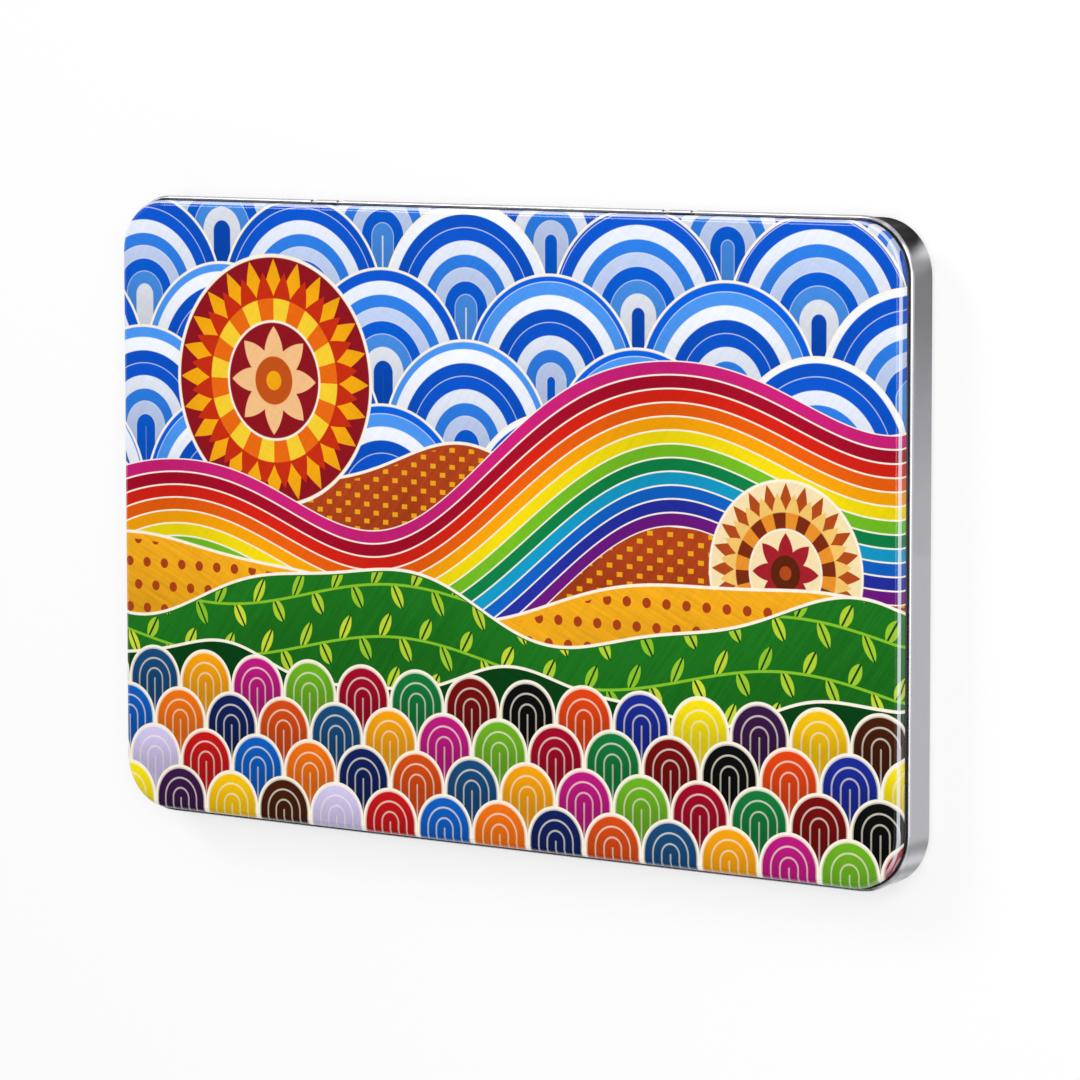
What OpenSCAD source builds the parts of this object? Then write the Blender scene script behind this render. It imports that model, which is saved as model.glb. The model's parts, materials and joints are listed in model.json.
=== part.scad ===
// Flat hinged tin for twenty-four coloured pencils, closed and lying on its underside.
// The origin is the centre of the underside: +X runs along the hinge, +Y points at
// the hinge and +Z is up. A section's "u" is measured outwards from the outermost
// line of the lid's rolled bead, so a face inside that line has a negative u.

/* [Tin] */
// Length along the hinge, over the rolled bead
tin_l = 287; // [260:1:310]
// Depth from the front bead to the hinge bead
tin_d = 188; // [187:1:200]
// Thickness with the lid closed
tin_t = 15.4; // [15:0.1:17]
// Corner radius in plan, over the bead
corner_r = 17; // [14:0.5:24]
// Thickness of the tinplate
sheet = 0.3; // [0.25:0.01:0.32]

/* [Lid] */
// Outer radius of the bead rolled round the lid's edge
bead_r = 0.8; // [0.75:0.01:0.9]
// From the lid's top face down to the middle of the bead
lid_drop = 4.7; // [4.4:0.1:5]
// Radius between the lid's top and its skirt
lid_edge_r = 1.25; // [0.8:0.05:1.5]
// Height of the top panel above the crease round it
panel_rise = 0.16; // [0.1:0.02:0.3]
// Gap between the lid's skirt and the base's neck
lid_gap = 0.15; // [0.12:0.01:0.2]

/* [Base] */
// Radius round the foot of the base's wall
foot_r = 1.2; // [0.8:0.1:2]
// Height of the neck that the lid slips over
neck_h = 3.75; // [3:0.05:3.9]
// Outer radius of the neck's inward roll
hem_r = 0.5; // [0.45:0.01:0.6]

/* [Hinge] */
// From the middle of the tin to the middle of each hinge
hinge_x = 64.5; // [30:0.5:90]
// Width of each tongue rolled round the hinge wire
tongue_w = 7.6; // [5:0.1:8]
// Width of the gap in the lid's bead at each tongue
notch_w = 12.2; // [11:0.1:14]
// Radius of the hinge wire
wire_r = 0.45; // [0.4:0.01:0.47]

/* [Pencils] */
// Length of a sharpened pencil
pencil_l = 175; // [170:1:176]
// Width of a pencil across its flats
pencil_af = 7; // [6.6:0.1:7.2]
// Radius of the coloured core
core_r = 1.65; // [1.2:0.05:1.9]
// Half-angle of the sharpened cone, in degrees
cone_angle = 10.8; // [9:0.2:13]
// Radius of the worn point
point_r = 0.3; // [0.2:0.05:0.5]

/* [Tray] */
// Thickness of the formed plastic sheet
tray_t = 0.45; // [0.35:0.05:0.5]
// Half the width of a groove at its mouth
groove_r = 4.3; // [4.2:0.05:4.4]
// Radius of the rolled lips between the grooves
lip_r = 0.9; // [0.6:0.05:0.95]
// Depth of the finger trough below the grooves
trough_drop = 3.6; // [2:0.1:4]
// Width of the finger trough at its floor
trough_w = 30; // [20:1:50]

/* [Hidden] */
$fn = 72;
PENCILS = [
    ["white", "#f2f1ec"], ["lemon", "#f8ea30"], ["yellow", "#f9cf0d"], ["amber", "#f5a10a"],
    ["orange", "#ee6c10"], ["vermilion", "#e23f16"], ["red", "#c81a1c"], ["crimson", "#a30f2e"],
    ["pink", "#f08fae"], ["magenta", "#c31a78"], ["purple", "#7b2283"], ["violet", "#4d2a8c"],
    ["ultramarine", "#1d2a8a"], ["blue", "#1260b4"], ["sky_blue", "#3ea0dc"], ["turquoise", "#0f8f95"],
    ["light_green", "#7cbf2e"], ["green", "#218a3c"], ["dark_green", "#11532e"], ["ochre", "#c08a2c"],
    ["brown", "#85481f"], ["dark_brown", "#4a2413"], ["grey", "#84888c"], ["black", "#161616"],
];
count = len(PENCILS);

// Centres of the corner arcs
corner_x = tin_l / 2 - corner_r;
corner_y = tin_d / 2 - corner_r;
// Height of the bead's middle, which is the hinge axis
bead_z = tin_t - lid_drop;
// Outer faces of the lid's skirt, the base's wall and the base's neck
skirt_u = sheet - 2 * bead_r;
wall_u = -bead_r;
neck_u = skirt_u - sheet - lid_gap;
// The base's shoulder lies just under the bead
rest_gap = 0.05;
shoulder_z = bead_z - bead_r - rest_gap;
shoulder_r = 0.45;
// Crease between the lid's rounded edge and its top panel
riser_w = 0.3;
// The gap in the lid above the bead's middle, and the gap in the neck at each tongue
notch_rise = 1.6;
tongue_gap = 0.5;
// Hinge tongue: its foot on the wall, and the heights where it steps inwards
tongue_foot = 2;
step_low = 1.15;
step_high = 0.35;
roll_open_to = -50;
// Pencils lie with their points towards the hinge, just under the lid
pencil_gap = 0.9;
hex_r = pencil_af / 2 / cos(30);
pencil_z = tin_t - sheet - pencil_gap - pencil_af / 2;
seat_z = pencil_z - pencil_af / 2;
butt_y = -pencil_l / 2;
butt_chamfer = 0.35;
core_gap = 0.02;
end_margin = 13.5;
pitch = (tin_l - 2 * end_margin) / (count - 1);
cone_slope = tan(cone_angle);
apex_l = pencil_l + point_r / cone_slope;
// Tray
tray_u = -3;
tray_top = seat_z + 3.2;
tray_edge_r = 1.2;
groove_l = pencil_l + 2.4;
groove_z = tray_top - lip_r;
trough_z = seat_z - trough_drop;
trough_slope = 0.7;
trough_l = (count - 1) * pitch + 2 * groove_r + 4;
clear = 5;

function rho(u) = corner_r + u;
function pencil_x(i) = (i - (count - 1) / 2) * pitch;
function trough_half(z, s) = trough_w / 2 + trough_slope * (z - trough_z) + s * sqrt(1 + trough_slope ^ 2);

// Sweeps a section round the tin's outline. The section's x is the distance from a
// corner's centre, and its y is the height.
module around() {
    for (k = [0:3]) {
        half_x = k % 2 == 0 ? corner_x : corner_y;
        half_y = k % 2 == 0 ? corner_y : corner_x;
        rotate(90 * k) translate([half_x, half_y, 0]) {
            rotate_extrude(angle = 90) children();
            rotate([90, 0, 0]) linear_extrude(2 * half_y) children();
        }
    }
}

// Flat plate with rounded corners whose edge lies at u
module plate(u, h) {
    linear_extrude(h) {
        square([2 * (corner_x + rho(u)), 2 * corner_y], center = true);
        square([2 * corner_x, 2 * (corner_y + rho(u))], center = true);
        for (sx = [-1, 1], sy = [-1, 1])
            translate([sx * corner_x, sy * corner_y]) circle(rho(u));
    }
}

// A ring of sheet seen end on
module roll(r) {
    difference() {
        circle(r);
        circle(r - sheet);
    }
}

// A quarter bend of sheet, upwards (up = 1) or downwards (up = -1), towards +x
module bend(r, up) {
    intersection() {
        roll(r);
        translate([0, up > 0 ? 0 : -r]) square(r);
    }
}

// The lid's edge: crease, rounded edge, skirt and bead rolled outwards
module lid_section() {
    crest_x = rho(skirt_u - lid_edge_r);
    crest_z = tin_t - panel_rise;
    polygon([
        [crest_x, crest_z - sheet],
        [crest_x, crest_z],
        [crest_x - riser_w, tin_t],
        [crest_x - riser_w, tin_t - sheet],
    ]);
    translate([crest_x, crest_z - lid_edge_r]) bend(lid_edge_r, 1);
    translate([rho(skirt_u - sheet), bead_z]) square([sheet, crest_z - lid_edge_r - bead_z]);
    translate([rho(-bead_r), bead_z]) roll(bead_r);
}

// The base's edge: foot, wall, shoulder, neck and safe edge rolled inwards
module base_section() {
    neck_top = shoulder_z + neck_h;
    translate([rho(wall_u) - foot_r, foot_r]) bend(foot_r, -1);
    translate([rho(wall_u) - sheet, foot_r]) square([sheet, shoulder_z - shoulder_r - foot_r]);
    translate([rho(wall_u) - shoulder_r, shoulder_z - shoulder_r]) bend(shoulder_r, 1);
    translate([rho(neck_u) - sheet, shoulder_z - sheet])
        square([wall_u - neck_u - shoulder_r + sheet, sheet]);
    translate([rho(neck_u) - sheet, shoulder_z - sheet])
        square([sheet, neck_h - hem_r + sheet]);
    translate([rho(neck_u) - hem_r, neck_top - hem_r]) roll(hem_r);
}

// A tongue of the base's rear wall: it steps inwards and rolls over the hinge wire
module tongue_section() {
    polygon([
        [wall_u - sheet, bead_z - tongue_foot],
        [wall_u, bead_z - tongue_foot],
        [wall_u, bead_z - step_low],
        [skirt_u, bead_z - step_high],
        [skirt_u, bead_z],
        [skirt_u - sheet, bead_z],
        [skirt_u - sheet, bead_z - step_high - 0.1],
        [wall_u - sheet, bead_z - step_low - 0.1],
    ]);
    translate([-bead_r, bead_z]) difference() {
        roll(bead_r);
        polygon([[0, 0], [-2, 0], [-2, -2], [2 / tan(-roll_open_to), -2]]);
    }
}

module base_pan() {
    color("#b9bbbe") {
        difference() {
            union() {
                around() base_section();
                plate(wall_u - foot_r, sheet);
            }
            for (side = [-1, 1])
                translate([side * hinge_x - tongue_w / 2 - tongue_gap, corner_y, shoulder_z - shoulder_r])
                    cube([tongue_w + 2 * tongue_gap, corner_r, neck_h + clear]);
        }
        for (side = [-1, 1])
            translate([side * hinge_x - tongue_w / 2, tin_d / 2, 0])
                rotate([90, 0, 90]) linear_extrude(tongue_w) tongue_section();
    }
}

module lid() {
    color("#2f7fe0") difference() {
        union() {
            around() lid_section();
            translate([0, 0, tin_t - sheet]) plate(skirt_u - lid_edge_r - riser_w, sheet);
        }
        for (side = [-1, 1])
            translate([side * hinge_x - notch_w / 2, tin_d / 2 - 2 * bead_r - lid_gap, bead_z - clear])
                cube([notch_w, clear, clear + notch_rise]);
    }
}

module hinge_wire() {
    color("#8d9094") translate([-corner_x, tin_d / 2 - bead_r, bead_z])
        rotate([0, 90, 0]) cylinder(r = wire_r, h = 2 * corner_x);
}

// The shape that the tray's sheet is drawn over, s inside its finished face
module tray_form(s, low) {
    difference() {
        union() {
            around() tray_edge(s, low);
            translate([0, 0, low]) plate(tray_u - tray_edge_r, tray_top - s - low);
        }
        for (i = [0:count - 1]) translate([pencil_x(i), 0, 0]) groove(s);
        rotate([90, 0, 90])
            linear_extrude(trough_l + 2 * s, center = true) trough_section(s);
    }
}

// The tray's outer wall with its rounded upper edge
module tray_edge(s, low) {
    r = tray_edge_r - s;
    face = rho(tray_u) - s;
    translate([face - r, low]) square([r, tray_top - tray_edge_r - low]);
    translate([face - r, tray_top - tray_edge_r]) intersection() {
        circle(r);
        square(r);
    }
}

// One groove, square at the pencil's butt and half-round at its point
module groove(s) {
    round_y = groove_l / 2 - groove_r;
    translate([0, round_y, 0]) {
        rotate([90, 0, 0]) linear_extrude(round_y + groove_l / 2 + s) groove_section(s);
        rotate_extrude(angle = 180) intersection() {
            groove_section(s);
            square(tray_top + clear);
        }
    }
}

// A groove seen end on: flat seat, round sides and a mouth that rolls over into the lips
module groove_section(s) {
    r = groove_r + s;
    mouth = groove_r + lip_r;
    intersection() {
        translate([0, groove_z]) circle(r);
        translate([-r, seat_z - s]) square([2 * r, groove_z - seat_z + s]);
    }
    difference() {
        translate([-mouth, groove_z]) square([2 * mouth, clear]);
        for (side = [-1, 1])
            translate([side * mouth, groove_z]) circle(lip_r - s);
    }
}

// The trough across the grooves where fingers reach under the pencils
module trough_section(s) {
    low = trough_z - s;
    high = tray_top + clear;
    polygon([
        [-trough_half(low, s), low],
        [trough_half(low, s), low],
        [trough_half(high, s), high],
        [-trough_half(high, s), high],
    ]);
}

module pencil_tray() {
    color("#f4f4f2") difference() {
        tray_form(0, sheet);
        tray_form(tray_t, sheet - clear);
    }
}

// Puts a pencil's part, drawn standing on its butt, in its groove
module in_groove(i) {
    translate([pencil_x(i), butt_y, pencil_z]) rotate([-90, 0, 0]) children();
}

// Hexagonal wooden casing, cut by the sharpener so that the lacquer ends in scallops
module casing(i) {
    wood_r = core_r + core_gap + 0.05;
    full_r = hex_r + 0.1;
    color(PENCILS[i][1]) in_groove(i) difference() {
        intersection() {
            cylinder(r = hex_r, h = pencil_l, $fn = 6);
            rotate_extrude() polygon([
                [0, 0],
                [hex_r - butt_chamfer, 0],
                [full_r, butt_chamfer + 0.1],
                [full_r, apex_l - full_r / cone_slope],
                [wood_r, apex_l - wood_r / cone_slope],
                [0, apex_l - wood_r / cone_slope],
            ]);
        }
        translate([0, 0, -1]) cylinder(r = core_r + core_gap, h = pencil_l + 2);
    }
}

// Coloured core with its sharpened point
module core(i) {
    color(PENCILS[i][1]) in_groove(i) rotate_extrude() polygon([
        [0, 0],
        [core_r, 0],
        [core_r, apex_l - core_r / cone_slope],
        [point_r, pencil_l],
        [0, pencil_l],
    ]);
}

base_pan();
lid();
hinge_wire();
pencil_tray();
for (i = [0:count - 1]) {
    casing(i);
    core(i);
}
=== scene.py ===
"""Dresses a flat hinged tin of coloured pencils and sets it on a pale studio floor."""

import json
import math

import bpy
from mathutils import Matrix, Vector


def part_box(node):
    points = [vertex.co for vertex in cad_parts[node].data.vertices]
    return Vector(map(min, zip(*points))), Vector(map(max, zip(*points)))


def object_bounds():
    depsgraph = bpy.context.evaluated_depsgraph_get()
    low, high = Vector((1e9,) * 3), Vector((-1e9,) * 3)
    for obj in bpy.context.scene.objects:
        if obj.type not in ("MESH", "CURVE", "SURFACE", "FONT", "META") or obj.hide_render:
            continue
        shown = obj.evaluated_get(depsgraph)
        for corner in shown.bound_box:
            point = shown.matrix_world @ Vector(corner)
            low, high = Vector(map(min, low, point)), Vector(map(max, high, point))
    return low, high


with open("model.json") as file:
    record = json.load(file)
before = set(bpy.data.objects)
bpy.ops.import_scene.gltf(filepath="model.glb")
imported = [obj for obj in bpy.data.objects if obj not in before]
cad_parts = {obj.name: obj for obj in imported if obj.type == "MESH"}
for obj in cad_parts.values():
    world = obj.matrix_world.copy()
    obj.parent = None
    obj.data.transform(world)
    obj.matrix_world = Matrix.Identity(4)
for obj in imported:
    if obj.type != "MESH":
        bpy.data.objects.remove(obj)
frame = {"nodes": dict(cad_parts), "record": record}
CAD_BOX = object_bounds()

bl_info = {
    "name": "Pencil Tin",
    "version": (1, 0, 0),
    "blender": (4, 5, 0),
    "location": "3D View > Sidebar > Pencil Tin",
    "description": "Finishes for a hinged tin of coloured pencils, with its floor, lamps and camera",
    "category": "Object",
}

MM = 0.001
# Sizes of the tin's edge in millimetres, as in the part's source
CORNER_R = 17.0
BEAD_R = 0.8
SHEET = 0.3
EDGE_R = 1.25
CREASE = 0.16
# Where the skirt's outer face stands, counted outwards from the bead's outermost line
SKIRT_U = SHEET - 2 * BEAD_R
# Height of the band of painted shade above the bead, and the stretch of the rounded edge that the
# painted highlight covers
CREASE_SHADE_HEIGHT = 1.0
HIGHLIGHT_SPAN = (0.55, 1.5)
# Softness of the print's edges
SOFT = 0.1
# Keeps an angle defined where both of its sides are nothing
TINY = 0.001
# Radius that the lacquer gives the edges of a pencil, and how far each flat has turned where they meet
EASED = 0.5
EDGE_TURN = math.radians(30)
SIN_60 = math.sin(math.radians(60))
PENCILS = [node[len("casing_"):] for node in frame["nodes"] if node.startswith("casing_")]


# ---------------------------------------------------------------- shader maths


class Wire:
    """A socket's value. An expression on it adds the Math nodes that work it out."""

    def __init__(self, net, socket):
        self.net = net
        self.socket = socket

    def maths(self, operation, *values):
        inputs = dict(enumerate(values))
        return self.net.node("ShaderNodeMath", {"operation": operation}, inputs)[0]

    def __add__(self, other):
        return self.maths("ADD", self, other)

    __radd__ = __add__

    def __sub__(self, other):
        return self.maths("SUBTRACT", self, other)

    def __rsub__(self, other):
        return self.maths("SUBTRACT", other, self)

    def __mul__(self, other):
        return self.maths("MULTIPLY", self, other)

    __rmul__ = __mul__

    def __truediv__(self, other):
        return self.maths("DIVIDE", self, other)

    def __rtruediv__(self, other):
        return self.maths("DIVIDE", other, self)

    def __abs__(self):
        return self.maths("ABSOLUTE", self)

    def __gt__(self, other):
        return self.maths("GREATER_THAN", self, other)

    def __lt__(self, other):
        return self.maths("LESS_THAN", self, other)

    def low(self, other):
        return self.maths("MINIMUM", self, other)

    def high(self, other):
        return self.maths("MAXIMUM", self, other)

    def sin(self):
        return self.maths("SINE", self)

    def cos(self):
        return self.maths("COSINE", self)

    def sqrt(self):
        return self.maths("SQRT", self)

    def floor(self):
        return self.maths("FLOOR", self)

    def part(self):
        return self.maths("FRACT", self)

    def angle_from(self, across):
        return self.maths("ARCTAN2", self, across)

    def fade(self, start, end):
        """0 at start and before, 1 at end and past it, and smooth between."""
        settings = {"interpolation_type": "SMOOTHSTEP"}
        inputs = {0: self, 1: start, 2: end, 3: 0.0, 4: 1.0}
        if start > end:
            inputs = {0: self, 1: end, 2: start, 3: 1.0, 4: 0.0}
        return self.net.node("ShaderNodeMapRange", settings, inputs)[0]


class Net:
    """The nodes of a material or of the world."""

    def __init__(self, name, kind="materials"):
        self.owner = getattr(bpy.data, kind).new(name)
        self.owner.use_nodes = True
        self.tree = self.owner.node_tree
        self.tree.nodes.clear()

    def node(self, kind, settings=None, inputs=None):
        """Adds a node: its settings first, then the values or links of its sockets."""
        made = self.tree.nodes.new(kind)
        for key, value in (settings or {}).items():
            if key == "stops":
                self.set_stops(made.color_ramp, value)
            elif key == "ramp":
                made.color_ramp.interpolation = value
            else:
                setattr(made, key, value)
        for key, value in (inputs or {}).items():
            socket = made.inputs[key]
            if isinstance(value, Wire):
                self.tree.links.new(value.socket, socket)
            else:
                socket.default_value = value
        return Outputs(self, made)

    @staticmethod
    def set_stops(ramp, stops):
        while len(ramp.elements) > 1:
            ramp.elements.remove(ramp.elements[-1])
        for count, (place, colour) in enumerate(stops):
            stop = ramp.elements[0] if count == 0 else ramp.elements.new(place)
            stop.position = place
            stop.color = rgba(colour)

    def blend(self, factor, first, second):
        """The colour first where factor is 0, and second where it is 1."""
        inputs = {0: factor, 6: paint(first), 7: paint(second)}
        return self.node("ShaderNodeMix", {"data_type": "RGBA"}, inputs)[2]

    def shade(self, colour, factor):
        """A colour made darker or lighter by a factor."""
        settings = {"data_type": "RGBA", "blend_type": "MULTIPLY"}
        grey = self.node("ShaderNodeCombineXYZ", None, {0: factor, 1: factor, 2: factor})[0]
        return self.node("ShaderNodeMix", settings, {0: 1.0, 6: paint(colour), 7: grey})[2]

    def ramp(self, factor, stops, stepped=False):
        settings = {"ramp": "CONSTANT" if stepped else "LINEAR", "stops": stops}
        return self.node("ShaderNodeValToRGB", settings, {0: factor})[0]

    def place(self):
        """x, y and z of a point of the piece, in millimetres."""
        spot = self.node("ShaderNodeTexCoord")["Object"]
        split = self.node("ShaderNodeSeparateXYZ", None, {0: spot})
        return split[0] / MM, split[1] / MM, split[2] / MM

    def point(self, x, y, z):
        return self.node("ShaderNodeCombineXYZ", None, {0: x, 1: y, 2: z})[0]

    def noise(self, spot, scale, detail, roughness):
        inputs = {"Vector": spot, "Scale": scale, "Detail": detail, "Roughness": roughness}
        return self.node("ShaderNodeTexNoise", None, inputs)[0]

    def random(self, spot):
        return self.node("ShaderNodeTexWhiteNoise", {"noise_dimensions": "3D"}, {"Vector": spot})[0]

    def seen(self):
        """1 for what the camera, a mirror or clear glass shows, and 0 for light that falls on things."""
        rays = self.node("ShaderNodeLightPath")
        return rays["Is Camera Ray"].high(rays["Is Glossy Ray"]).high(rays["Is Transmission Ray"])

    def bump(self, height):
        """Relief, from its height in millimetres."""
        inputs = {"Height": height, "Strength": 1.0, "Distance": MM}
        return self.node("ShaderNodeBump", None, inputs)[0]

    def surface(self, **sockets):
        """The finish itself. Names are the Principled sockets with _ for a space."""
        inputs = {}
        for name, value in sockets.items():
            value = paint(value) if name.endswith("Color") else value
            inputs[name.replace("_", " ")] = value
        shader = self.node("ShaderNodeBsdfPrincipled", None, inputs)[0]
        self.node("ShaderNodeOutputMaterial", None, {0: shader})
        return self.owner


class Outputs:
    """A node's outputs, by number or by name."""

    def __init__(self, net, made):
        self.net = net
        self.made = made

    def __getitem__(self, key):
        return Wire(self.net, self.made.outputs[key])


def rgba(colour):
    """A colour with full alpha."""
    return (*tuple(colour)[:3], 1.0)


def paint(colour):
    """A colour as a socket takes it: a Wire stays as it is."""
    return colour if isinstance(colour, Wire) else rgba(colour)


def srgb(code):
    """A colour written as rrggbb, as linear light."""
    parts = [int(code[k:k + 2], 16) / 255 for k in (0, 2, 4)]
    return tuple(c / 12.92 if c <= 0.04045 else ((c + 0.055) / 1.055) ** 2.4 for c in parts)


# ------------------------------------------------------------------ user sizes


def colour_prop(name, description, code):
    return bpy.props.FloatVectorProperty(
        name=name, description=description, subtype="COLOR", size=3, min=0, max=1, default=srgb(code)
    )


class PrintLook(bpy.types.PropertyGroup):
    """The design printed on the lid."""

    ground_high: colour_prop("Ground, high", "Top of the background", "0a5fe0")
    ground_low: colour_prop("Ground, low", "Foot of the background", "8fb8f2")
    leaf_light: colour_prop("Light leaf", "Leaves of the vines", "86c02c")
    leaf_mid: colour_prop("Leaf", "Ground of the vines", "1d6e1e")
    leaf_dark: colour_prop("Dark leaf", "Deepest green", "0a3c16")
    straw: colour_prop("Straw", "Golden wave", "eaa51c")
    clay: colour_prop("Clay", "Brick-coloured wave and dots", "a8401a")
    key_line: colour_prop("Key line", "Pale line between the stripes", "f7efe0")
    # Painted highlight: the pale line along the lid's rounded edge
    edge_highlight: colour_prop("Rim line", "Pale line along the rounded edge", "eef3ff")
    # Painted shade: the dark band at the foot of the lid's rim, above the bead
    crease_shade: colour_prop("Border", "Dark line round the foot of the lid's rim", "16110f")


class TinplateLook(bpy.types.PropertyGroup):
    """Bare rolled tinplate."""

    tone: colour_prop("Tone", "Colour of the metal", "bcbcc0")
    roughness: bpy.props.FloatProperty(
        name="Roughness", description="How satin the metal is",
        default=0.3, min=0, max=1, subtype="FACTOR",
    )
    grain: bpy.props.FloatProperty(
        name="Grain", description="Strength of the rolling grain",
        default=0.35, min=0, max=1, subtype="FACTOR",
    )


class TrayLook(bpy.types.PropertyGroup):
    """Vacuum-formed tray."""

    tone: colour_prop("Tone", "Colour of the plastic", "f0f0ec")
    roughness: bpy.props.FloatProperty(
        name="Roughness", description="Sheen of the plastic",
        default=0.42, min=0, max=1, subtype="FACTOR",
    )


class PencilLook(bpy.types.PropertyGroup):
    """Bare wood of the pencils. Their lacquers and cores have the record's colours."""

    wood: colour_prop("Wood", "Bare sharpened wood", "eccf9f")
    wood_dark: colour_prop("Wood grain", "Darker lines in the wood", "cfa068")


class StageLook(bpy.types.PropertyGroup):
    """Floor, lamps and camera."""

    floor: colour_prop("Floor", "Colour of the floor", "fcfcfc")
    floor_white: bpy.props.FloatProperty(
        name="Floor white", description="Share of plain white in the floor that is seen",
        default=0.6, min=0, max=1, subtype="FACTOR",
    )
    room_strength: bpy.props.FloatProperty(
        name="Room light", description="Strength of the even light from all round", default=0.48, min=0
    )
    side_power: bpy.props.FloatProperty(
        name="Side lamp", description="Power of the soft box over the right side",
        default=11, min=0, unit="POWER",
    )
    hinge_power: bpy.props.FloatProperty(
        name="Hinge lamp", description="Power of the soft box behind the hinge",
        default=9, min=0, unit="POWER",
    )
    turn: bpy.props.FloatProperty(
        name="Turn", description="Angle from the lid's face round to the camera",
        default=math.radians(37.472), subtype="ANGLE",
    )
    tilt: bpy.props.FloatProperty(
        name="Tilt", description="Angle by which the camera looks at the hinge side",
        default=math.radians(5.705), subtype="ANGLE",
    )
    roll: bpy.props.FloatProperty(
        name="Roll", description="Roll of the camera", default=math.radians(-0.078), subtype="ANGLE"
    )
    away: bpy.props.FloatProperty(
        name="Distance", description="From the lid to the camera, along its level line",
        default=1.5836, unit="LENGTH",
    )
    across: bpy.props.FloatProperty(
        name="Across", description="Camera to the right of the tin's middle",
        default=0.0142, unit="LENGTH",
    )
    above: bpy.props.FloatProperty(
        name="Above", description="Camera above the tin's front edge, towards the hinge side",
        default=0.2493, unit="LENGTH",
    )
    lens: bpy.props.FloatProperty(
        name="Lens", description="Focal length on a 36 mm sensor", default=183.02, unit="CAMERA"
    )


def look_prop(name, description, look):
    return bpy.props.PointerProperty(name=name, description=description, type=look)


class TinSettings(bpy.types.PropertyGroup):
    """All the sizes and colours that a user would change."""

    print_look: look_prop("Print", "Colours of the design on the lid", PrintLook)
    tinplate: look_prop("Tinplate", "Bare metal of the base and the lid", TinplateLook)
    tray: look_prop("Tray", "Plastic of the tray", TrayLook)
    pencil: look_prop("Pencils", "Wood of the pencils", PencilLook)
    stage: look_prop("Stage", "Floor, lamps and camera", StageLook)


# ------------------------------------------------------------- the lid's print

# Twelve stripes of the ribbon, from its lower edge up
RIBBON = (
    "6d1a80", "26309f", "1262c4", "159ac6", "0f8046", "74bd24",
    "f4dc10", "f9a50a", "ea5f0e", "d62416", "a60f2a", "cc2278",
)
# Small scales along the foot of the lid
SCALES = (
    "101010", "cfc4ea", "f2a00e", "de4312", "c0171a", "b91a7c", "1c2c92", "0f5cba", "6cae22", "f4de12",
    "ec7012", "9e0c28", "3a1a46", "14225a", "157638", "f2c00e", "d04a14", "741010", "451f0e", "1a4a78",
)
# Rings of the large arches, from their middles out
ARCHES = ("0b4fc0", "eef2fc", "4a93ec", "0a5fd8", "c4d4f6", "2f7fe6", "e6ecfa", "0d55cc")
# A rosette's rays, inner rays, two kinds of block, disc, petals and middle
SUNNY = ("f3a812", "c62f12", "ea6a12", "f8d034", "8e1620", "f4c088", "c2521a")
EARTHY = ("b04a1c", "f2c46a", "7a2c14", "e8902a", "f6e0b0", "a3202a", "5c2410")
# Pale outline of the design's shapes
OUTLINE = srgb("fbf3e2")
# Each wave's crest: its level, its swing, its pace along x and where it starts
CLAY_CREST = (13.0, 10.0, 0.037, 2.2)
STRAW_CREST = (-17.0, 8.0, 0.029, 5.2)
VINE_CREST = (-22.0, 9.0, 0.036, 3.4)
DEEP_CREST = (-45.0, 5.0, 0.052, 1.0)


def stepped(codes):
    """Colour ramp stops that give each colour an equal share."""
    return [(k / len(codes), srgb(code)) for k, code in enumerate(codes)]


def reach_from(dx, dy):
    """How far a point is from the middle that dx and dy start at."""
    return (dx * dx + dy * dy).sqrt()


def strokes(net, x, y, degrees, seed):
    """Slanted strokes of a coloured pencil, from 0 to 1."""
    c, s = math.cos(math.radians(degrees)), math.sin(math.radians(degrees))
    along = x * c + y * s
    aside = y * c - x * s
    return net.noise(net.point(along * 0.045, aside * 0.85, seed), 1.0, 3.0, 0.65)


def domes(net, x, y, picture, pitch, levels, shift, colours):
    """Rows of overlapping half-round domes: colours(column, row, reach) paints one of them."""
    edge = pitch / 2
    for row, level in enumerate(levels):
        offset = edge * (row % 2) + shift
        column = ((x - offset) / pitch).floor()
        dx = x - offset - (column + 0.5) * pitch
        reach = reach_from(dx, (y - level).high(0.0))
        depth = (y - level).fade(-0.5 * edge, edge)
        colour = net.shade(colours(column, row, reach), depth * 0.4 + 0.68)
        colour = net.blend(reach.fade(edge - 1.0, edge - 0.6), colour, OUTLINE)
        picture = net.blend(reach.fade(edge + SOFT, edge - SOFT), picture, colour)
    return picture


def arches(net, x, y, picture):
    """Large arches of blue and white rings over the upper part."""
    pitch, shift = 62.0, -9.0
    levels = (84.0, 64.0, 44.0, 24.0, 4.0)

    def colours(column, row, reach):
        step = reach / (pitch / 2) + net.random(net.point(column, row, 0.5)) * 0.5
        colour = net.ramp(step.part(), stepped(ARCHES), stepped=True)
        line = abs((step * len(ARCHES)).part() - 0.5)
        return net.blend(line.fade(0.44, 0.48) * 0.5, colour, srgb("f4f6fd"))

    return domes(net, x, y, picture, pitch, levels, shift, colours)


def scales(net, x, y, picture):
    """Small scales along the foot, every one in another colour."""
    pitch, shift = 20.5, 3.0
    levels = (-53.0, -65.0, -77.0, -89.0, -103.5)

    def colours(column, row, reach):
        # A scale's colour is three places on from its neighbour's, and every row starts elsewhere
        pick = (column * (3 / len(SCALES)) + (row * 0.55 + 0.026)).part()
        colour = net.ramp(pick, stepped(SCALES), stepped=True)
        line = abs((reach / 3.1).part() - 0.5)
        return net.blend(line.fade(0.38, 0.44) * 0.55, colour, OUTLINE)

    return domes(net, x, y, picture, pitch, levels, shift, colours)


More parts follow.
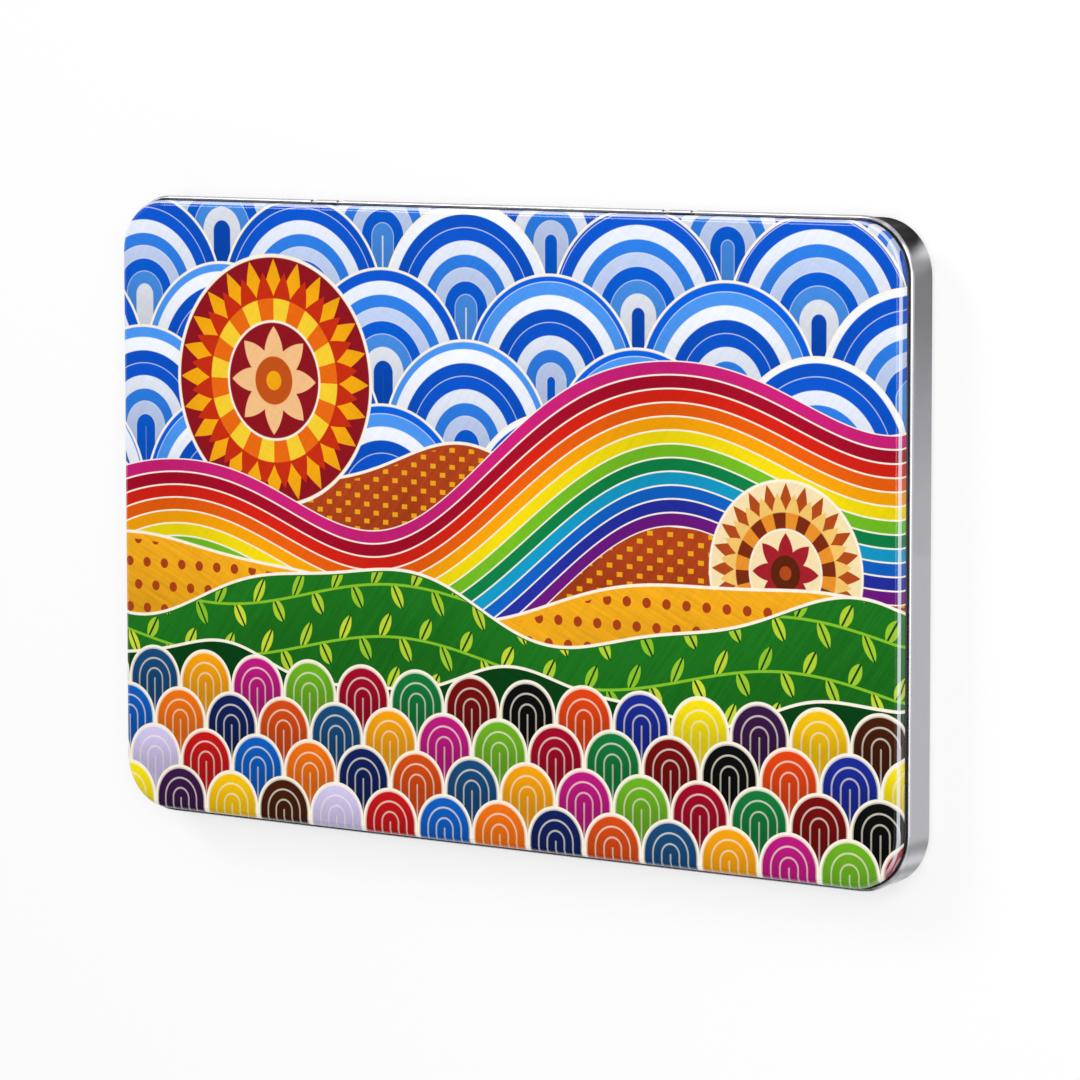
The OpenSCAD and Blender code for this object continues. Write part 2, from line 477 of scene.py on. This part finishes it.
def rosette(net, x, y, picture, middle, size, codes):
    """A round rosette of rays and rings, each with its outer edge as a share of the size."""
    rays, inner, block, other, disc, petal, heart = (srgb(code) for code in codes)
    dx, dy = x - middle[0], y - middle[1]
    reach = reach_from(dx, dy) / size
    turn = dy.angle_from(dx) / math.tau
    soft = 0.2 / size

    def lay(picture, edge, colour):
        return net.blend(edge.fade(soft, -soft), picture, colour)

    picture = lay(picture, reach - 1.05, OUTLINE)
    wedge = abs((turn * 24).part() - 0.5) * 2
    picture = lay(picture, reach - 1.02, disc)
    picture = lay(picture, reach - 0.76 - wedge * 0.25, net.shade(rays, 1.35 - reach * 0.4))
    picture = lay(picture, reach - 0.70 - (1 - wedge) * 0.20, inner)
    blocks = net.blend((turn * 12).part() > 0.5, block, other)
    picture = lay(picture, reach - 0.68, blocks)
    picture = lay(picture, reach - 0.50, OUTLINE)
    picture = lay(picture, reach - 0.48, disc)
    picture = lay(picture, reach - 0.26 - abs((turn * 8).part() - 0.5) * 0.38, petal)
    picture = lay(picture, reach - 0.20, heart)
    return lay(picture, reach - 0.08, rays)


def ribbon(net, look, x, y, picture):
    """A broad ribbon of twelve stripes that swings across the lid."""
    stripe, count = 3.9, len(RIBBON)
    rise, swing, pace = 0.20, 17.0, 0.034
    phase = x * pace - 0.35
    middle = phase.sin() * swing + x * rise - 1.0
    slope = phase.cos() * (swing * pace) + rise
    across = (y - middle) / (slope * slope + 1).sqrt() / stripe + count / 2
    colour = net.ramp(across / count, stepped(RIBBON), stepped=True)
    edge = abs(across.part() - 0.5)
    colour = net.shade(colour, (phase * 2.0).cos() * 0.09 + 0.95)
    colour = net.blend(edge.fade(0.42, 0.46), colour, look.key_line)
    return net.blend(abs(across - count / 2).fade(count / 2 + 0.06, count / 2), picture, colour)


def wave(net, x, y, picture, colour, shape, tone):
    """A wave: its colour below a curved crest, and a pale line along the crest."""
    level, swing, pace, start = shape
    crest = (x * pace + start).sin() * swing + (x * pace * 2.3 + start).sin() * (swing * 0.25) + level
    below = crest - y
    body = net.shade(colour, tone * 0.5 + 0.86 - below.fade(0.0, 26.0) * 0.24)
    body = net.blend(below.fade(1.0, 0.8), body, OUTLINE)
    return net.blend(below.fade(-0.12, 0.12), picture, body), below


def dots(net, x, y, cell, size):
    """A staggered pattern of round dots: 1 on a dot."""
    row = (y / cell).floor()
    shifted = x / cell + row * 0.5
    reach = reach_from(shifted.part() - 0.5, (y / cell).part() - 0.5) * cell
    return reach.fade(size + SOFT, size - SOFT)


def vines(net, x, y, look, picture, mask):
    """Stems along x, with pointed leaves above and below them by turns."""
    row_pitch, leaf_pitch = 15.5, 7.6
    curve = y + (x * 0.045).sin() * 5.0
    row = (curve / row_pitch).floor()
    dy = curve - (row + 0.5) * row_pitch
    along = x + row * 3.0
    column = (along / leaf_pitch).floor()
    dx = along - (column + 0.5) * leaf_pitch
    side = ((column * 0.5).part() > 0.25) * 2 - 1
    lean_x = dx - 0.8
    lean_y = dy * side - 3.3
    c, s = math.cos(math.radians(62)), math.sin(math.radians(62))
    long_way = lean_x * c + lean_y * s
    aside = abs(lean_y * c - lean_x * s)
    # A leaf is where two circles of one radius overlap
    bow, offset = 5.6, 3.7
    edge = reach_from(long_way, aside + offset) - bow
    tint = net.random(net.point(column, row, 7.5))
    leaf = net.blend(tint, look.leaf_light, srgb("d3dc3c"))
    leaf = net.blend(aside.fade(0.42, 0.22), leaf, look.leaf_dark)
    picture = net.blend(edge.fade(0.12, -0.12) * mask, picture, leaf)
    return net.blend(abs(dy).fade(0.5, 0.3) * mask, picture, look.leaf_light)


def design(net, look, x, y):
    """The whole printed picture."""
    rising = strokes(net, x, y, 52, 1.0)
    falling = strokes(net, x, y, -24, 5.0)
    depth = (CAD_BOX[1][1] - CAD_BOX[0][1]) / MM
    picture = net.blend((y / depth + 0.5).fade(0.3, 1.0), look.ground_low, look.ground_high)
    picture = arches(net, x, y, picture)
    picture, below = wave(net, x, y, picture, look.clay, CLAY_CREST, rising)
    diamonds = abs((x * 0.14 + y * 0.2).part() - 0.5) + abs((x * 0.14 - y * 0.2).part() - 0.5)
    picture = net.blend(diamonds.fade(0.3, 0.26) * below.fade(1.6, 2.0), picture, look.straw)
    picture = rosette(net, x, y, picture, (-82.0, 40.0), 36.0, SUNNY)
    picture = ribbon(net, look, x, y, picture)
    picture = rosette(net, x, y, picture, (104.0, -6.0), 25.0, EARTHY)
    picture, below = wave(net, x, y, picture, look.straw, STRAW_CREST, falling)
    spots = dots(net, x, y, 7.0, 1.5) * below.fade(2.4, 2.8)
    picture = net.blend(spots, picture, look.clay)
    picture, below = wave(net, x, y, picture, look.leaf_mid, VINE_CREST, rising)
    picture = vines(net, x, y, look, picture, below.fade(1.2, 1.4))
    picture, below = wave(net, x, y, picture, look.leaf_dark, DEEP_CREST, falling)
    picture = scales(net, x, y, picture)
    return net.shade(picture, rising * 0.24 + falling * 0.18 + 0.79)


def past_corner(x, y, high):
    """How far a point lies past the middles of the tin's round corners, along x and along y."""
    over_x = (abs(x) - (high.x - CORNER_R)).high(0.0)
    over_y = (abs(y) - (high.y - CORNER_R)).high(0.0)
    return over_x, over_y


def lid_skin(x, y, z):
    """Where the print, its painted shade above the bead and its painted highlight along the rounded edge
    are, and x and y unrolled from the rounded edge.
    """
    low, high = (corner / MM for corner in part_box("lid"))
    over_x, over_y = past_corner(x, y, high)
    rho = reach_from(over_x, over_y)
    out = rho - CORNER_R
    bend_z = high.z - CREASE - EDGE_R
    across = (out - (SKIRT_U - EDGE_R)).high(0.0)
    rise = (z - bend_z).high(0.0)
    panel = z > high.z - CREASE - SHEET / 4
    side = (reach_from(across, rise) > EDGE_R - SHEET / 2) * (across > 0.0)
    below = (z > low.z + 2 * BEAD_R - SHEET / 2) * (out < SKIRT_U + SHEET / 2)
    printed = panel.high(side * below)
    along = across.angle_from(rise + TINY) * EDGE_R + (bend_z - z).high(0.0)
    spread = (along - across).high(0.0) / rho.high(0.1)
    flat_x = x + over_x * spread * ((x > 0.0) * 2 - 1)
    flat_y = y + over_y * spread * ((y > 0.0) * 2 - 1)
    foot = low.z + 2 * BEAD_R
    # Painted shade: a dark band at the foot of the skirt, where the crease above the bead is in shade
    crease_shade = side * z.fade(foot + CREASE_SHADE_HEIGHT + SOFT / 2, foot + CREASE_SHADE_HEIGHT - SOFT / 2)
    # Painted highlight: a pale line along the rounded edge, where it catches the light
    rim = side * along.fade(HIGHLIGHT_SPAN[0] - SOFT, HIGHLIGHT_SPAN[0]) * along.fade(HIGHLIGHT_SPAN[1], HIGHLIGHT_SPAN[1] - SOFT)
    # Along the front edge the painted highlight is faint
    rim = rim * (y.fade(low.y + 4.0, low.y + 12.0) * 0.8 + 0.2)
    return printed, crease_shade, rim, flat_x, flat_y


def printed_tinplate(look, metal):
    """Gloss-varnished print on the lid's outside, bare tinplate on its bead and inside."""
    net = Net("printed_tinplate")
    x, y, z = net.place()
    printed, crease_shade, rim, flat_x, flat_y = lid_skin(x, y, z)
    # Painted highlight along the rounded edge
    picture = net.blend(rim * 0.6, design(net, look, flat_x, flat_y), look.edge_highlight)
    # Painted shade at the skirt's foot, above the bead
    picture = net.blend(crease_shade, picture, look.crease_shade)
    tone, rough, height = rolled_metal(net, metal, x, y, z)
    colour = net.blend(printed, tone, picture)
    handled = net.noise(net.point(x * 0.03, y * 0.05, 4.0), 1.0, 4.0, 0.6)
    roughness = printed * (handled * 0.08 + 0.05 - rough) + rough
    swell = net.noise(net.point(x * 0.014, y * 0.014, 0.3), 1.0, 1.0, 0.4)
    peel = net.noise(net.point(x, y, z), 0.9, 2.0, 0.5)
    height = height * (1 - printed) + (swell * 0.35 + peel * 0.004) * printed
    return net.surface(
        Base_Color=colour,
        Metallic=1 - printed,
        Roughness=roughness,
        Specular_IOR_Level=0.38,
        Normal=net.bump(height),
    )


# ------------------------------------------------------------------ materials


def rolled_metal(net, look, x, y, z):
    """Colour, roughness and height of tinplate: rolling grain along x, and bands of painted reflection
    round the corners, where it was drawn.
    """
    grain = net.noise(net.point(x * 0.08, y * 5.0, z * 5.0), 1.0, 3.0, 0.7)
    cloud = net.noise(net.point(x * 0.04, y * 0.05, z * 0.2), 1.0, 3.0, 0.6)
    speck = net.noise(net.point(x, y, z), 2.2, 2.0, 0.6)
    over_x, over_y = past_corner(x, y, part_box("base_pan")[1] / MM)
    # Painted reflection: lighter and darker bands in the metal's colour round the tin's corners
    corner = (over_x * over_y).fade(5.0, 60.0) * (reach_from(over_x, over_y) > CORNER_R - 3 * BEAD_R)
    round_corner = over_y.angle_from(over_x + TINY) * 3.4
    bands = net.noise(net.point(round_corner, x * 0.002, y * 0.002), 1.0, 1.0, 0.5)
    drawn_marks_and_painted_sheen = corner * (bands.fade(0.35, 0.65) - 0.5)
    tone = grain * (look.grain * 0.3) + cloud * 0.1 + (0.9 - look.grain * 0.15)
    tone = net.shade(look.tone, tone + drawn_marks_and_painted_sheen * 0.7)
    rough = grain * (look.grain * 0.25) + cloud * 0.12 + speck * 0.06 + (look.roughness - 0.12)
    height = grain * (look.grain * 0.012) + cloud * 0.05
    return tone, rough, height


def tinplate(look):
    """Bare rolled tinplate for the base."""
    net = Net("tinplate")
    x, y, z = net.place()
    tone, rough, height = rolled_metal(net, look, x, y, z)
    return net.surface(
        Base_Color=tone, Metallic=1.0, Roughness=rough, Normal=net.bump(height)
    )


def wire_steel():
    """Drawn steel for the hinge wire."""
    net = Net("hinge_wire_steel")
    x, y, z = net.place()
    drawn_marks_and_painted_sheen = net.noise(net.point(x * 0.3, y * 9.0, z * 9.0), 1.0, 2.0, 0.6)
    return net.surface(
        Base_Color=net.shade(srgb("b4b4b6"), drawn_marks_and_painted_sheen * 0.3 + 0.8),
        Metallic=1.0,
        Roughness=drawn_marks_and_painted_sheen * 0.2 + 0.2,
        Normal=net.bump(drawn_marks_and_painted_sheen * 0.01),
    )


def tray_plastic(look):
    """White formed sheet: faint pull marks, pressed grain and a little dust of colour in the grooves."""
    net = Net("tray_plastic")
    x, y, z = net.place()
    grain = net.noise(net.point(x, y, z), 3.5, 2.0, 0.6)
    pull = net.noise(net.point(x * 0.1, y * 0.1, z * 0.6), 1.0, 3.0, 0.55)
    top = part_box("pencil_tray")[1].z / MM
    smudge = net.noise(net.point(x * 0.5, y * 0.12, 2.0), 1.0, 4.0, 0.6).fade(0.52, 0.8)
    smudge = smudge * z.fade(top - 1.5, top - 4.0)
    tone = net.shade(look.tone, pull * 0.08 + 0.95)
    tone = net.blend(smudge * 0.08, tone, srgb("8f8a86"))
    return net.surface(
        Base_Color=tone,
        Roughness=grain * 0.12 + pull * 0.1 + (look.roughness - 0.1),
        Normal=net.bump(grain * 0.006 + pull * 0.12),
    )


def record_colour(slot):
    """The colour that the record gives a slot."""
    for entry in frame["record"]["materials"]:
        if entry["slot"] == slot:
            return tuple(entry["base_color"][:3])
    raise ValueError(f"the record has no material slot {slot}")


def lacquered_wood(look, colour_name):
    """Lacquer on the flats and bare grained wood on the sharpened cone."""
    net = Net("lacquer_" + colour_name)
    low, high = (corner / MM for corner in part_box("casing_" + colour_name))
    middle_x, middle_z = (low.x + high.x) / 2, (low.z + high.z) / 2
    x, y, z = net.place()
    dx, dz = x - middle_x, z - middle_z
    reach = reach_from(dx, dz)
    # The hexagon's own distance from its middle, which the cone cuts into
    up, side = abs(dz), abs(dx) * SIN_60 + abs(dz) * 0.5
    flat = up.high(side)
    half = (high.z - low.z) / 2
    # Lacquer rounds the hexagon's edges: the next flat's distance says how near an edge is
    next_flat = up.low(side).high(abs(side - up))
    curl = ((next_flat - half) / SIN_60 / EASED + 1).high(0.0)
    ragged = net.noise(net.point(x * 3.0, y * 0.7, z * 3.0), 1.0, 2.0, 0.6)
    bare = (flat + (ragged - 0.5) * 0.06).fade(half - 0.06, half - 0.12) * (y > low.y + 1.0)
    butt = (y < low.y + 0.02) * reach.fade(2.0, 1.9)
    lacquer = record_colour("lacquer_" + colour_name)
    depth = net.noise(net.point(x * 0.6, y * 0.05, z * 0.6), 1.0, 2.0, 0.5)
    coat = net.shade(lacquer, depth * 0.14 + 0.93)
    rings = net.noise(net.point(dx * 1.8 + 4.0, y * 0.09, dz * 0.9), 1.0, 3.0, 0.6)
    fibres = net.noise(net.point(x * 7.0, y * 0.5, z * 7.0), 1.0, 2.0, 0.7)
    wood = net.blend(rings.fade(0.38, 0.66), look.wood, look.wood_dark)
    wood = net.shade(wood, fibres * 0.3 + 0.86)
    eased = curl * curl * (EASED * math.tan(EDGE_TURN) / 2)
    height = fibres * 0.03 * bare + (depth * 0.05 - eased) * (1 - bare)
    lacquer_rough, wood_rough = 0.16, 0.62
    return net.surface(
        Base_Color=net.blend(bare, coat, wood),
        Roughness=bare * (wood_rough - lacquer_rough) + lacquer_rough + butt * 0.2,
        Coat_Weight=(1 - bare) * 0.2,
        Coat_Roughness=0.05,
        Normal=net.bump(height),
    )


def waxy_core(colour_name):
    """Sharpened colour core, with the sharpener's turned marks."""
    net = Net("core_" + colour_name)
    x, y, z = net.place()
    turned = net.noise(net.point(x * 0.4, y * 4.0, z * 0.4), 1.0, 2.0, 0.6)
    crumb = net.noise(net.point(x, y, z), 4.0, 3.0, 0.7)
    return net.surface(
        Base_Color=net.shade(record_colour("core_" + colour_name), crumb * 0.3 + 0.82),
        Roughness=crumb * 0.2 + 0.4,
        Normal=net.bump(turned * 0.03 + crumb * 0.03),
    )


def dress(node, material):
    """Gives a CAD node its finish in every material slot that it has."""
    piece = frame["nodes"][node]
    if not piece.material_slots:
        piece.data.materials.append(material)
    for slot in piece.material_slots:
        slot.material = material


# -------------------------------------------------------------------- operators


class PENCILTIN_OT_lid(bpy.types.Operator):
    """Print the lid's outside and bare its inside and bead"""

    bl_idname = "pencil_tin.lid"
    bl_label = "Printed Lid"

    def execute(self, context):
        settings = context.scene.pencil_tin
        dress("lid", printed_tinplate(settings.print_look, settings.tinplate))
        return {"FINISHED"}


class PENCILTIN_OT_base(bpy.types.Operator):
    """Finish the base and its hinge tongues as bare tinplate"""

    bl_idname = "pencil_tin.base"
    bl_label = "Tinplate Base"

    def execute(self, context):
        dress("base_pan", tinplate(context.scene.pencil_tin.tinplate))
        return {"FINISHED"}


class PENCILTIN_OT_hinge(bpy.types.Operator):
    """Finish the hinge wire as drawn steel"""

    bl_idname = "pencil_tin.hinge"
    bl_label = "Hinge Wire"

    def execute(self, context):
        dress("hinge_wire", wire_steel())
        return {"FINISHED"}


class PENCILTIN_OT_tray(bpy.types.Operator):
    """Finish the tray as formed white plastic"""

    bl_idname = "pencil_tin.tray"
    bl_label = "Tray"

    def execute(self, context):
        dress("pencil_tray", tray_plastic(context.scene.pencil_tin.tray))
        return {"FINISHED"}


class PENCILTIN_OT_pencils(bpy.types.Operator):
    """Finish every pencil's casing and core in its own colour"""

    bl_idname = "pencil_tin.pencils"
    bl_label = "Pencils"

    def execute(self, context):
        look = context.scene.pencil_tin.pencil
        for colour_name in PENCILS:
            dress("casing_" + colour_name, lacquered_wood(look, colour_name))
            dress("core_" + colour_name, waxy_core(colour_name))
        return {"FINISHED"}


class PENCILTIN_OT_stage(bpy.types.Operator):
    """Add the floor, the lamps, the room light and the camera"""

    bl_idname = "pencil_tin.stage"
    bl_label = "Stage"

    def execute(self, context):
        look = context.scene.pencil_tin.stage
        make_floor(look)
        make_lamps(look)
        make_cards()
        make_room(context.scene, look)
        make_camera(context.scene, look)
        context.scene.view_settings.view_transform = "Standard"
        return {"FINISHED"}


def flat_sheet(name, width, length):
    """A rectangle in the XY plane."""
    mesh = bpy.data.meshes.new(name)
    x, y = width / 2, length / 2
    mesh.from_pydata([(-x, -y, 0), (x, -y, 0), (x, y, 0), (-x, y, 0)], [], [(0, 1, 2, 3)])
    return bpy.data.objects.new(name, mesh)


def make_floor(look):
    """Matt paper that takes shadows, with a share of plain white wherever it is seen."""
    width = 12.0
    floor = flat_sheet("floor", width, width)
    bpy.context.scene.collection.objects.link(floor)
    net = Net("floor_paper")
    paper = net.node("ShaderNodeBsdfDiffuse", None, {"Color": rgba(look.floor)})[0]
    white = net.node("ShaderNodeEmission", None, {"Strength": 1.0})[0]
    share = net.seen() * look.floor_white
    mixed = net.node("ShaderNodeMixShader", None, {0: share, 1: paper, 2: white})[0]
    net.node("ShaderNodeOutputMaterial", None, {0: mixed})
    floor.data.materials.append(net.owner)


def aim(thing, spot):
    """Puts a lamp or a card at a spot and turns its face to the tin."""
    thing.location = spot
    thing.rotation_euler = (-Vector(spot)).to_track_quat("-Z", "Y").to_euler()
    bpy.context.scene.collection.objects.link(thing)


def make_lamps(look):
    """A soft box over the right side, which the lid's edge mirrors, and one behind the hinge."""
    rows = (
        ("side_lamp", (0.62, 0.25, 1.25), (0.8, 1.3), look.side_power),
        ("hinge_lamp", (-1.1, 1.15, 1.1), (0.7, 0.7), look.hinge_power),
    )
    for name, spot, (width, length), power in rows:
        data = bpy.data.lights.new(name, "AREA")
        data.shape = "RECTANGLE"
        data.size = width
        data.size_y = length
        data.energy = power
        aim(bpy.data.objects.new(name, data), spot)


def make_cards():
    """Cards that only gloss shows: they keep glare off the lid and give the metal its dark edges."""
    black = ((0.0, "101010"),)
    for name, spot, width, length in (
        ("lid_card", (-1.1, -0.18, 1.42), 1.4, 1.4),
        ("front_card", (-0.95, -1.0, 0.6), 2.0, 1.25),
    ):
        aim(make_card(name, width, length, black), spot)
    # Cards on the floor at the tin's foot, which only the metal mirrors: a grey one behind it, a painted
    # contact shadow, and one along its right side graded into painted light and dark reflection bands on
    # the base's wall
    lift, split, narrow, broad = 0.0004, 0.03, 0.005, 0.012
    left, floor = CAD_BOX[0][0], CAD_BOX[0][2]
    right, rear = CAD_BOX[1][0], CAD_BOX[1][1]
    grey = ((0.0, "404042"),)
    painted_reflection_bands = (
        (0.0, "f8f8f8"), (0.13, "f8f8f8"), (0.4, "d8d8d8"), (0.62, "b4b4b4"), (0.74, "b0b0b0"),
        (0.765, "f8f8f8"), (0.8, "f8f8f8"), (0.84, "383838"), (0.93, "484848"), (1.0, "a0a0a0"),
    )
    for name, x0, x1, y0, y1, tones in (
        ("rear_floor_card", left, right - split, rear, rear + narrow, grey),
        ("corner_floor_card", right - split, right + broad, 0.0, rear + broad, painted_reflection_bands),
    ):
        card = make_card(name, x1 - x0, y1 - y0, tones)
        card.location = ((x0 + x1) / 2, (y0 + y1) / 2, floor + lift)
        bpy.context.scene.collection.objects.link(card)


def make_card(name, width, length, tones):
    """A card that only glossy surfaces show, with its tones as ramp stops along its length."""
    card = flat_sheet(name, width, length)
    card.visible_camera = False
    card.visible_diffuse = False
    card.visible_shadow = False
    net = Net(name + "_cloth")
    along = net.place()[1] * (MM / length) + 0.5
    tone = net.ramp(along, [(place, srgb(code)) for place, code in tones])
    cloth = net.surface(Base_Color=tone, Roughness=1.0, Specular_IOR_Level=0.0)
    card.data.materials.append(cloth)
    return card


def make_room(scene, look):
    """Even light all round, which cameras and mirrors see as white."""
    net = Net("room", "worlds")
    strength = net.seen() * (1.0 - look.room_strength) + look.room_strength
    light = net.node("ShaderNodeBackground", None, {"Color": rgba((1, 1, 1)), "Strength": strength})[0]
    net.node("ShaderNodeOutputWorld", None, {0: light})
    net.owner.cycles.sampling_method = "NONE"
    scene.world = net.owner


def make_camera(scene, look):
    """The camera faces the lid: the hinge side is up in the picture, and the right side shows."""
    turn = Matrix.Rotation(look.turn, 3, "Y")
    low, high = CAD_BOX
    # The lid's face seen square on: right is +X, up is +Y, and the camera looks down -Z
    right, up, back = Vector((1, 0, 0)), Vector((0, 1, 0)), Vector((0, 0, 1))
    right, back = turn @ right, turn @ back
    spot = right * look.across + back * look.away + up * look.above
    spot += Vector((0, low[1], high[2]))
    tilt = Matrix.Rotation(-look.tilt, 3, right)
    up, back = tilt @ up, tilt @ back
    spin = Matrix.Rotation(look.roll, 3, back)
    right, up = spin @ right, spin @ up
    data = bpy.data.cameras.new("photo_camera")
    data.sensor_width = 36
    data.lens = look.lens
    data.clip_end = 50
    camera = bpy.data.objects.new("photo_camera", data)
    camera.matrix_world = Matrix((
        (right.x, up.x, back.x, spot.x),
        (right.y, up.y, back.y, spot.y),
        (right.z, up.z, back.z, spot.z),
        (0, 0, 0, 1),
    ))
    scene.collection.objects.link(camera)
    scene.camera = camera


class PENCILTIN_PT_panel(bpy.types.Panel):
    """Lists the tin's pieces and their settings"""

    bl_idname = "PENCILTIN_PT_panel"
    bl_label = "Pencil Tin"
    bl_space_type = "VIEW_3D"
    bl_region_type = "UI"
    bl_category = "Pencil Tin"

    def draw(self, context):
        settings = context.scene.pencil_tin
        for operator in OPERATORS:
            self.layout.operator(operator.bl_idname)
        for part in type(settings).__annotations__:
            group = getattr(settings, part)
            box = self.layout.box()
            for name in type(group).__annotations__:
                box.prop(group, name)


OPERATORS = (
    PENCILTIN_OT_lid,
    PENCILTIN_OT_base,
    PENCILTIN_OT_hinge,
    PENCILTIN_OT_tray,
    PENCILTIN_OT_pencils,
    PENCILTIN_OT_stage,
)
GROUPS = (PrintLook, TinplateLook, TrayLook, PencilLook, StageLook, TinSettings)
CLASSES = GROUPS + OPERATORS + (PENCILTIN_PT_panel,)


def register():
    for cls in CLASSES:
        bpy.utils.register_class(cls)
    bpy.types.Scene.pencil_tin = bpy.props.PointerProperty(type=TinSettings)


def unregister():
    del bpy.types.Scene.pencil_tin
    for cls in reversed(CLASSES):
        bpy.utils.unregister_class(cls)


def main():
    """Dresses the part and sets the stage."""
    register()
    bpy.ops.pencil_tin.stage()
    bpy.ops.pencil_tin.lid()
    bpy.ops.pencil_tin.base()
    bpy.ops.pencil_tin.hinge()
    bpy.ops.pencil_tin.tray()
    bpy.ops.pencil_tin.pencils()


if __name__ == "__main__":
    main()
